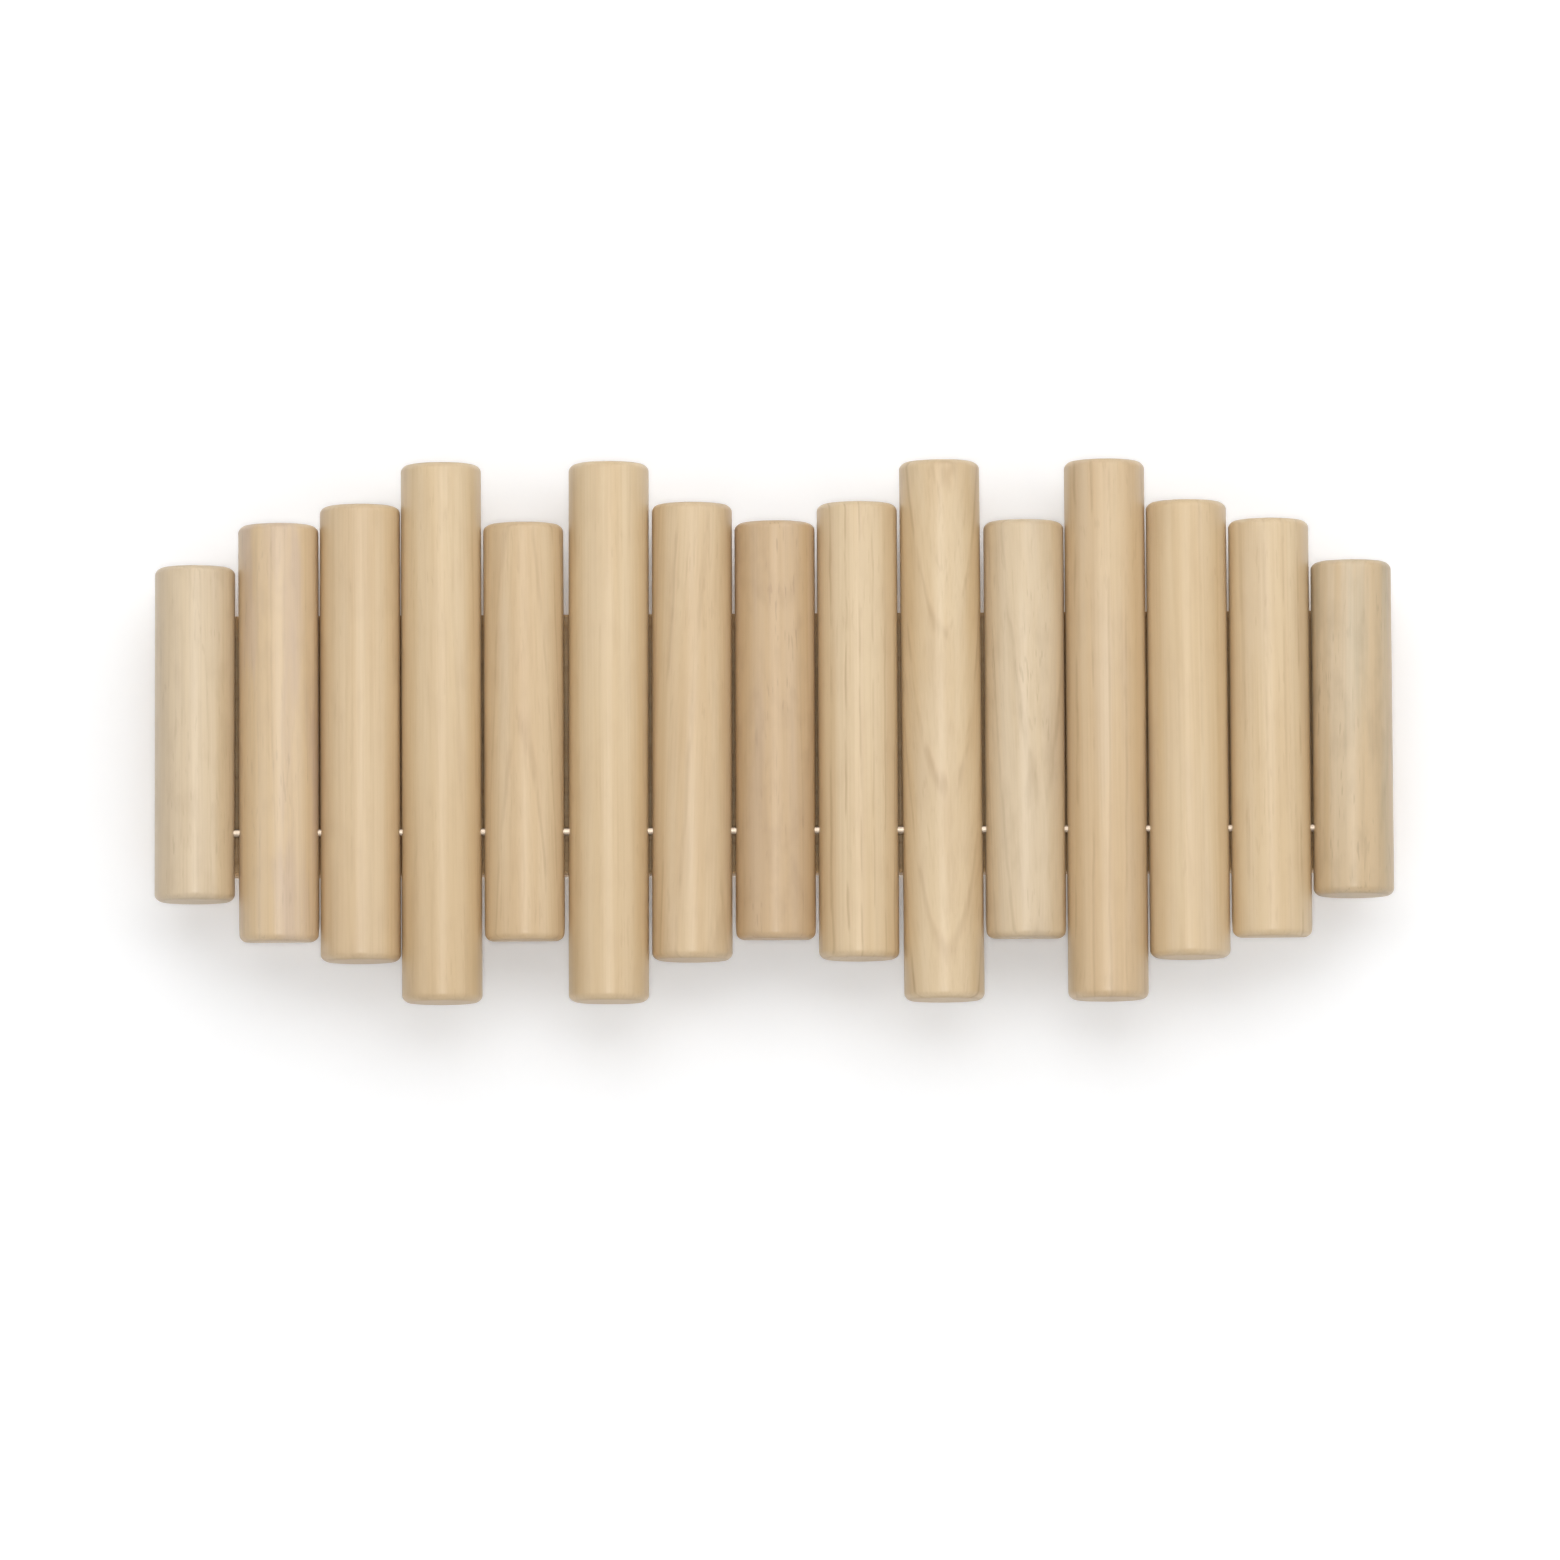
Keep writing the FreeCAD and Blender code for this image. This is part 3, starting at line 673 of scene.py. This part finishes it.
@dataclass
class DowelRow:
    """The fifteen dowels, turned, pared behind and bored in one node tree for each kind.

    Depths and tips are measured from the wall, and the flats behind from a dowel's axis. The wear
    reaches some way in from the ends and grows outwards over its rim, in shares of the radius.
    """

    radius: float = 16 * MM
    rounding: float = 3 * MM
    axis_depth: float = 30 * MM
    rod_depth: float = 32 * MM
    rod_level: float = -39.5 * MM
    rod_bore: float = 1.66 * MM
    rod_reach: float = 239.3 * MM
    flat: float = 15 * MM
    hook_back: float = 14.7 * MM
    open_angle: float = math.radians(25)
    pilot: float = 2.05 * MM
    pilot_tip: float = 33.5 * MM
    wear: float = 0.35 * MM
    waviness: float = 0.05 * MM
    wear_reach: float = 4 * MM
    wear_rim: Pair = (0.72, 0.97)
    wear_scale: float = 2.7
    swell_scale: tuple[float, float, float] = (55.0, 55.0, 9.0)
    end_flat: float = 0.3 * MM
    past_side: float = 4 * MM
    past_end: float = 2 * MM
    spacing: float = 2.5 * MM
    around: int = 128
    round_steps: int = 10
    heel_steps: int = 12
    bore_sides: int = 48
    pilot_sides: int = 32
    trees: dict[bool, bpy.types.NodeTree] = field(default_factory=dict)

    def build(self, sticks: Sequence[Stick], screws: Sequence[Vector]) -> None:
        """Makes the dowels, from the left, given the places of the screws in the fixed ones."""
        for hooked in (False, True):
            self.trees[hooked] = self.turning(hooked)
        for stick in sticks:
            self.make(stick, screws)

    def make(self, stick: Stick, screws: Sequence[Vector]) -> None:
        """Makes one dowel where its node stands, with holes for those of the screws in it."""
        low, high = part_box(stick.node)
        bottom, top = self.axis_ends(stick.node)
        middle = (bottom + top) / 2
        lean = math.atan2(top.x - bottom.x, top.z - bottom.z)
        lie = Matrix.Rotation(lean, 3, "Y")
        shares = {"cool_share": stick.cool, "mottle_share": stick.mottle, "foot_share": stick.foot}
        finish = WoodFinish(stick.tone.value, stick.grain, **shares)
        material = finish.material(f"wood_{stick.node}", middle, lie)
        own = sorted((s for s in screws if low.x < s.x < high.x), key=lambda s: s.z)
        inputs = {
            "Length": (top - bottom).length,
            "Middle": middle,
            "Lean": lean,
            "Seed": float(stick.grain.seed),
            "Material": material,
        }
        if not stick.hooked:
            inputs |= {"Lower Screw": own[0], "Upper Screw": own[-1]}
        base = bpy.data.meshes.new(stick.node)
        piece = grow(f"turned_{stick.node}", base, self.trees[stick.hooked], inputs)
        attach(piece, stick.body)
        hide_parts(stick.node)
        faces = len(piece.data.polygons)
        log.info("%s: %d faces, leaning %.2f degrees", piece.name, faces, math.degrees(lean))

    def axis_ends(self, node: str) -> tuple[Vector, Vector]:
        """Finds the two ends of a dowel's axis from the flats of its packed ends."""
        ends = []
        points = [v.co for v in bpy.data.objects[node].data.vertices]
        for sign in (-1, 1):
            limit = max(sign * p.z for p in points)
            face = [p for p in points if sign * p.z > limit - self.end_flat]
            across = (min(p.x for p in face) + max(p.x for p in face)) / 2
            level = sign * (max(sign * p.z for p in face) + min(sign * p.z for p in face)) / 2
            ends.append(Vector((across, -self.axis_depth, level)))
        return ends[0], ends[1]

    def turning(self, hooked: bool) -> bpy.types.NodeTree:
        """Builds the node tree that makes a fixed dowel or a hook peg where it stands."""
        graph = new_geometry_graph("hook_turning" if hooked else "dowel_turning")
        length = graph.socket("Length", "Float")
        middle = graph.socket("Middle", "Vector")
        lean = graph.socket("Lean", "Float")
        seed = graph.socket("Seed", "Float")
        material = graph.socket("Material", "Material")
        top = graph.sum("DIVIDE", length, 2.0)
        bottom = graph.sum("MULTIPLY", length, -0.5)

        corners = ((0.0, bottom), (self.radius, bottom), (self.radius, top), (0.0, top))
        profile = graph.outline(corners, (0.0, self.rounding, self.rounding, 0.0), self.round_steps)
        stick = graph.turned(graph.refine(profile, self.spacing), self.around)
        stick = self.worn(graph, stick, top, seed)
        stick = graph.cut(stick, self.back_tool(graph, hooked, top, middle))
        stick = graph.moved(stick, middle, graph.join(0.0, lean, 0.0))

        rod_place = (0.0, -self.rod_depth, self.rod_level)
        bore = graph.pin(self.rod_bore, 2 * self.rod_reach, self.bore_sides)
        tools = [graph.moved(bore, rod_place, (0.0, QUARTER_TURN, 0.0))]
        if not hooked:
            depth = self.pilot_tip - self.axis_depth + self.radius
            for name in ("Lower Screw", "Upper Screw"):
                x, _, z = graph.split(graph.socket(name, "Vector"))
                place = graph.join(x, depth / 2 - self.pilot_tip, z)
                pilot = graph.pin(self.pilot, depth, self.pilot_sides)
                tools.append(graph.moved(pilot, place, (QUARTER_TURN, 0.0, 0.0)))
        graph.finish(graph.cut(stick, *tools), material)
        return graph.tree

    def worn(self, graph: GeometryGraph, stick: Socket, top: Socket, seed: Socket) -> Socket:
        """Makes a turned stick a little uneven, as sanding leaves it, and never any larger.

        Args:
            graph: the tree under construction.
            stick: the mesh.
            top: half of the stick's length.
            seed: what makes this stick differ from the rest.

        Returns:
            The mesh.
        """
        here = graph.here()
        x, y, z = graph.split(here)
        scaled = graph.arrow("MULTIPLY", here, self.swell_scale)
        shifted = graph.arrow("ADD", scaled, graph.join(seed, seed, 0.0))
        swell = graph.noise(shifted, 1.0, 1.0)
        rubbed = graph.noise(shifted, self.wear_scale, 0.0)
        radius = graph.arrow("LENGTH", graph.join(x, y, 0.0))
        rim = graph.ramp(radius, *(share * self.radius for share in self.wear_rim))
        end = graph.ramp(graph.sum("ABSOLUTE", z), graph.sum("SUBTRACT", top, self.wear_reach), top)
        shrink = graph.sum("MULTIPLY_ADD", swell, -self.waviness / self.radius, 1.0)
        depth = graph.sum("MULTIPLY", rubbed, self.wear)
        drop = graph.sum("MULTIPLY", graph.sum("MULTIPLY", rim, end), depth)
        level = graph.sum("SUBTRACT", z, graph.sum("MULTIPLY", drop, graph.sum("SIGN", z)))
        place = graph.join(graph.sum("MULTIPLY", x, shrink), graph.sum("MULTIPLY", y, shrink), level)
        return graph.shifted(stick, place)

    def back_tool(self, graph: GeometryGraph, hooked: bool, top: Socket, middle: Socket) -> Socket:
        """Makes what is pared off behind: a flat, and on a hook peg the heel and its relief too.

        Args:
            graph: the tree under construction.
            hooked: whether the dowel is a hook peg.
            top: half of the stick's length.
            middle: the stick's middle, from which the rod's level is measured.

        Returns:
            The mesh to take away.
        """
        beyond = self.radius + self.past_side
        high = graph.sum("ADD", top, self.past_end)
        low = graph.sum("MULTIPLY", high, -1.0)
        if not hooked:
            corners = ((self.flat, low), (self.flat, high), (beyond, high), (beyond, low))
            return graph.prism(graph.outline(corners, (0.0,) * 4, 1), 2 * self.radius)
        heel = self.hook_back + self.rod_depth - self.axis_depth
        rod = graph.sum("SUBTRACT", self.rod_level, graph.split(middle)[2])
        turn = graph.sum("SUBTRACT", rod, heel * math.tan(self.open_angle / 2))
        run = graph.sum("SUBTRACT", turn, low)
        foot = graph.sum("MULTIPLY_ADD", run, -math.tan(self.open_angle), self.hook_back)
        back = self.hook_back
        corners = ((foot, low), (back, turn), (back, high), (beyond, high), (beyond, low))
        section = graph.outline(corners, (0.0, heel, 0.0, 0.0, 0.0), self.heel_steps)
        return graph.prism(section, 2 * self.radius)


@dataclass
class Backboard:
    """The board behind the row, sawn with its fibres along it and left without lacquer."""

    node: str = "backboard"
    grain: Grain = Grain(80 * MM, 190, 0.5, 5.5 * MM, 0.45, WAVY, 0.0, 21)

    def build(self, frame: dict) -> None:
        """Dresses the board's node."""
        finish = WoodFinish(Tones.AMBER.value, self.grain, roughness=0.58, coat=0.0)
        low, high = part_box(self.node)
        lie = Matrix.Rotation(QUARTER_TURN, 3, "Y")
        dress(frame["nodes"][self.node], finish.material("board_wood", (low + high) / 2, lie))
        log.info("%s: dressed", self.node)


@dataclass
class Ironmongery:
    """The steel rod and the two keyhole plates."""

    # The rod's colours are darker and warmer than bare drawn steel: painted shade of the narrow gaps it is
    # seen through, and a painted warm reflection of the wood round it.
    rod: SteelFinish = SteelFinish((0.49, 0.41, 0.32), (0.39, 0.32, 0.25), 0.44, (30.0, 2600.0, 2600.0))
    plate: SteelFinish = SteelFinish((0.66, 0.67, 0.68), (0.52, 0.53, 0.55), 0.36, (900.0, 900.0, 90.0))

    def build(self, frame: dict) -> None:
        """Dresses the rod's node and the plates' nodes."""
        bright = self.rod.material("drawn_steel_painted_shade")
        zinc = self.plate.material("zinc_plate")
        dress(frame["nodes"]["pivot_rod"], bright)
        for side in ("left", "right"):
            dress(frame["nodes"][f"keyhole_plate_{side}"], zinc)
        log.info("pivot_rod and keyhole plates: dressed")


SCREW_STEEL = SteelFinish((0.74, 0.72, 0.66), (0.60, 0.58, 0.52), 0.30, (500.0, 500.0, 500.0))


@dataclass
class WoodScrews:
    """Countersunk wood screws with a cross recess, all alike in one node.

    Head and shank are diameters. The point is the length of the tip, the bare part lies between
    the head and the thread, and arm, slot and recess are the cross's span, width and depth.
    """

    node: str
    head: float
    shank: float
    length: float
    point: float
    arm: float
    slot: float
    recess: float
    pitch: float
    bare: float
    core_share: float = 0.72
    rim_drop: float = 0.02
    rim_share: float = 0.99
    pitch_steps: int = 6
    around: int = 20
    seed: int = 3

    def places(self) -> list[Vector]:
        """Finds the middle of the top of each screw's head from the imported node."""
        work = bmesh.new()
        work.from_mesh(bpy.data.objects[self.node].data)
        bmesh.ops.remove_doubles(work, verts=work.verts, dist=MERGE)
        waiting = set(work.verts)
        tops = []
        while waiting:
            shell = {waiting.pop()}
            edge = set(shell)
            while edge:
                edge = {e.other_vert(v) for v in edge for e in v.link_edges} & waiting
                waiting -= edge
                shell |= edge
            points = [v.co for v in shell]
            low, high = (Vector(f(p[n] for p in points) for n in range(3)) for f in (min, max))
            tops.append(Vector(((low.x + high.x) / 2, high.y, (low.z + high.z) / 2)))
        work.free()
        return sorted(tops, key=lambda p: (round(p.x, 4), round(p.z, 4)))

    def build(self, material: bpy.types.Material, name: str) -> None:
        """Makes the screws on their places.

        Args:
            material: the screws' material.
            name: the name of the finished piece.
        """
        base = bpy.data.meshes.new(name)
        base.from_pydata(self.places(), [], [])
        piece = grow(name, base, self.threading(), {"Material": material, "Seed": self.seed})
        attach(piece, "root")
        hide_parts(self.node)
        log.info("%s: %d screws, %d faces", name, len(base.vertices), len(piece.data.polygons))

    def threading(self) -> bpy.types.NodeTree:
        """Builds the node tree that turns and threads one screw and sets a copy on every point."""
        graph = new_geometry_graph(f"{self.node}_threading")
        points = graph.find("NodeGroupInput").outputs["Geometry"]
        seed = graph.socket("Seed", "Int")
        material = graph.socket("Material", "Material")
        head, shank = self.head / 2, self.shank / 2
        neck = shank - head
        corners = (
            (0.0, -self.length),
            (shank, self.point - self.length),
            (shank, neck),
            (head, -self.rim_drop * head),
            (head * self.rim_share, 0.0),
            (0.0, 0.0),
        )
        profile = graph.outline(corners, (0.0,) * len(corners), 1)
        screw = graph.turned(graph.refine(profile, self.pitch / self.pitch_steps), self.around)
        screw = self.threaded(graph, screw, neck)
        blades = []
        for size in ((self.arm, self.slot, 2 * self.recess), (self.slot, self.arm, 2 * self.recess)):
            blades.append(graph.add("GeometryNodeMeshCube", {"Size": size}).outputs["Mesh"])
        screw = graph.cut(screw, *blades)
        facing = graph.moved(screw, (0.0, 0.0, 0.0), (-QUARTER_TURN, 0.0, 0.0))
        spin = graph.add(
            "FunctionNodeRandomValue", {"Min": 0.0, "Max": FULL_TURN, "Seed": seed}, data_type="FLOAT"
        ).outputs["Value"]
        copies = graph.add(
            "GeometryNodeInstanceOnPoints",
            {"Points": points, "Instance": facing, "Rotation": graph.join(0.0, spin, 0.0)},
        )
        graph.finish(copies.outputs[0], material)
        return graph.tree

    def threaded(self, graph: GeometryGraph, screw: Socket, neck: float) -> Socket:
        """Draws a plain shank in to its core between the turns of its thread.

        Args:
            graph: the tree under construction.
            screw: the mesh.
            neck: the height where the head meets the shank.

        Returns:
            The mesh.
        """
        x, y, z = graph.split(graph.here())
        turn = graph.sum("DIVIDE", graph.sum("ARCTAN2", y, x), FULL_TURN)
        wave = graph.sum("FRACT", graph.sum("SUBTRACT", graph.sum("DIVIDE", z, self.pitch), turn))
        swing = graph.sum("ABSOLUTE", graph.sum("MULTIPLY_ADD", wave, 2.0, -1.0))
        crest = graph.sum("SUBTRACT", 1.0, swing)
        share = graph.sum("MULTIPLY_ADD", crest, 1.0 - self.core_share, self.core_share)
        below = graph.ramp(z, neck - self.bare, neck - self.bare - self.pitch)
        shrink = graph.sum("ADD", graph.sum("MULTIPLY", below, share), graph.sum("SUBTRACT", 1.0, below))
        place = graph.join(graph.sum("MULTIPLY", x, shrink), graph.sum("MULTIPLY", y, shrink), z)
        return graph.shifted(screw, place)


@dataclass
class Studio:
    """The wall, the floor, the lamps and the camera.

    Off-white and fill are how bright the paint and the world are as light. See-through is how near
    to the paint a ray may start and still pass.
    """

    wall_gap: float = 0.3 * MM
    see_through: float = 12 * MM
    floor_level: float = -1.1
    reach: float = 9.0
    white: Colour = (0.965, 0.97, 0.98)
    off_white: float = 0.8
    wall_glow: float = 0.09
    floor_glow: float = 0.5
    key_power: float = 52.0
    key_size: Pair = (3.6, 2.7)
    key_place: Vector = field(default_factory=lambda: Vector((0.25, -1.8, 1.5)))
    back_power: float = 34.0
    back_size: Pair = (1.6, 1.2)
    back_place: Vector = field(default_factory=lambda: Vector((0.5, 2.2, 1.3)))
    front_power: float = 58.0
    front_size: Pair = (0.5, 0.5)
    side_power: float = 8.0
    side_size: Pair = (1.2, 1.2)
    side_place: Vector = field(default_factory=lambda: Vector((2.2, -1.6, 0.0)))
    fill: float = 0.055
    aim: Vector = field(default_factory=lambda: Vector((2.6 * MM, -30 * MM, -19.2 * MM)))
    distance: float = 5.0
    view_width: float = 620.5 * MM
    sensor: float = 36.0
    rise: float = math.radians(5)
    roll: float = math.radians(0.30)

    def build(self) -> None:
        """Sets everything up round the object."""
        upright = Matrix.Rotation(QUARTER_TURN, 4, "X")
        self.lay("wall", Vector((0, self.wall_gap, 0)), upright, self.wall_glow)
        self.lay("floor", Vector((0, 0, self.floor_level)), Matrix.Identity(4), self.floor_glow)
        self.hang_lamp("key", self.key_power, self.key_size, self.key_place)
        self.hang_lamp("front", self.front_power, self.front_size, self.eye())
        for name, sign in (("left", -1), ("right", 1)):
            place = Vector((sign * self.side_place.x, *self.side_place.yz))
            self.hang_lamp(name, self.side_power, self.side_size, place)
        self.hang_lamp("back", self.back_power, self.back_size, self.back_place)
        self.fill_world()
        self.set_camera()
        log.info("studio: ready")

    def lay(self, name: str, place: Vector, turn: Matrix, glow: float) -> None:
        """Makes one pale plane.

        Args:
            name: the plane's name.
            place: its middle.
            turn: how it is turned from lying flat and facing up.
            glow: how much white is seen on it beyond what the lamps give.
        """
        mesh = bpy.data.meshes.new(name)
        span = self.reach
        square = ((-span, -span), (span, -span), (span, span), (-span, span))
        corners = [Vector((x, y, 0)) for x, y in square]
        mesh.from_pydata([place + (turn @ c) for c in corners], [], [(0, 1, 2, 3)])
        plane = bpy.data.objects.new(name, mesh)
        bpy.context.scene.collection.objects.link(plane)
        mesh.materials.append(self.pale(f"{name}_paint", glow))

    def pale(self, name: str, glow: float) -> bpy.types.Material:
        """Makes a matt one-sided paint.

        It is white to look at, also in gloss, and off-white to the light it passes on. It lets
        through what comes from behind it or starts right at it, and glows where it is looked at.
        """
        material, graph, shader = new_material(name)
        path = graph.add("ShaderNodeLightPath").outputs
        seen = self.looked_at(graph, path)
        off = self.off_white
        levels = [graph.sum("MULTIPLY_ADD", seen, white - off, off) for white in self.white]
        paint = graph.add("ShaderNodeBsdfDiffuse", {"Color": graph.join(*levels)})
        light = graph.add("ShaderNodeEmission", {"Strength": graph.sum("MULTIPLY", seen, glow)})
        lit = graph.add("ShaderNodeAddShader", {0: paint.outputs[0], 1: light.outputs[0]})
        behind = graph.add("ShaderNodeNewGeometry").outputs["Backfacing"]
        close = graph.sum("LESS_THAN", path["Ray Length"], self.see_through)
        through = graph.sum("MAXIMUM", behind, close)
        clear = graph.add("ShaderNodeBsdfTransparent")
        mixed = graph.add("ShaderNodeMixShader", {0: through, 1: lit.outputs[0], 2: clear.outputs[0]})
        graph.feed(graph.find("ShaderNodeOutputMaterial").inputs["Surface"], mixed.outputs[0])
        graph.tree.nodes.remove(shader)
        return material

    @staticmethod
    def looked_at(graph: Graph, path: bpy.types.bpy_prop_collection) -> Socket:
        """Tells the rays that show the surroundings, also in gloss, from those that only light."""
        seen = graph.sum("MAXIMUM", path["Is Camera Ray"], path["Is Glossy Ray"])
        return graph.sum("MAXIMUM", seen, path["Is Transmission Ray"])

    def hang_lamp(self, name: str, power: float, size: Pair, place: Vector) -> None:
        """Hangs one soft lamp that faces the object and isn't seen itself."""
        lamp = bpy.data.lights.new(name, "AREA")
        lamp.shape = "RECTANGLE"
        lamp.size, lamp.size_y = size
        lamp.energy = power
        holder = bpy.data.objects.new(name, lamp)
        holder.location = place
        holder.rotation_euler = (-place).to_track_quat("-Z", "Y").to_euler()
        holder.visible_camera = False
        bpy.context.scene.collection.objects.link(holder)

    def fill_world(self) -> None:
        """Makes the surroundings white to look at and much weaker as light."""
        world = bpy.data.worlds.new("studio")
        world.use_nodes = True
        bpy.context.scene.world = world
        graph = Graph(world.node_tree)
        path = graph.add("ShaderNodeLightPath").outputs
        seen = self.looked_at(graph, path)
        level = graph.sum("MULTIPLY_ADD", seen, 1.0 - self.fill, self.fill)
        light = graph.find("ShaderNodeBackground")
        light.inputs["Color"].default_value = plain((1.0, 1.0, 1.0))
        graph.feed(light.inputs["Strength"], level)

    def eye(self) -> Vector:
        """Gives the camera's place, far off and a little below."""
        return self.aim + Vector((0, -math.cos(self.rise), -math.sin(self.rise))) * self.distance

    def set_camera(self) -> None:
        """Points the camera at the row and rolls it a little."""
        lens = bpy.data.cameras.new("camera")
        lens.sensor_width = self.sensor
        lens.lens = lens.sensor_width * self.distance / self.view_width
        camera = bpy.data.objects.new("camera", lens)
        camera.location = self.eye()
        look = (self.aim - self.eye()).to_track_quat("-Z", "Y").to_matrix()
        camera.rotation_euler = (look @ Matrix.Rotation(-self.roll, 3, "Z")).to_euler()
        bpy.context.scene.collection.objects.link(camera)
        bpy.context.scene.camera = camera


def clear_scene() -> None:
    """Takes away what a new file starts with."""
    for thing in list(bpy.data.objects):
        bpy.data.objects.remove(thing)


def main() -> None:
    """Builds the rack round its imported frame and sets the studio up."""
    logging.basicConfig(level=logging.INFO, format="%(message)s")
    clear_scene()
    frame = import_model()

    steel = SCREW_STEEL.material("screw_zinc")
    long_screws = WoodScrews(
        "dowel_screws",
        head=8 * MM,
        shank=4 * MM,
        length=32 * MM,
        point=5 * MM,
        arm=4.2 * MM,
        slot=1.1 * MM,
        recess=1.7 * MM,
        pitch=1.8 * MM,
        bare=9 * MM,
    )
    short_screws = WoodScrews(
        "plate_screws",
        head=5 * MM,
        shank=2.5 * MM,
        length=12 * MM,
        point=3 * MM,
        arm=2.8 * MM,
        slot=0.7 * MM,
        recess=0.9 * MM,
        pitch=1.1 * MM,
        bare=1 * MM,
    )
    screw_places = long_screws.places()
    long_screws.build(steel, "threaded_dowel_screws")
    short_screws.build(steel, "threaded_plate_screws")
    DowelRow().build(STICKS, screw_places)
    Backboard().build(frame)
    Ironmongery().build(frame)
    Studio().build()

    bpy.context.scene.view_settings.view_transform = "Standard"


if __name__ == "__main__":
    main()
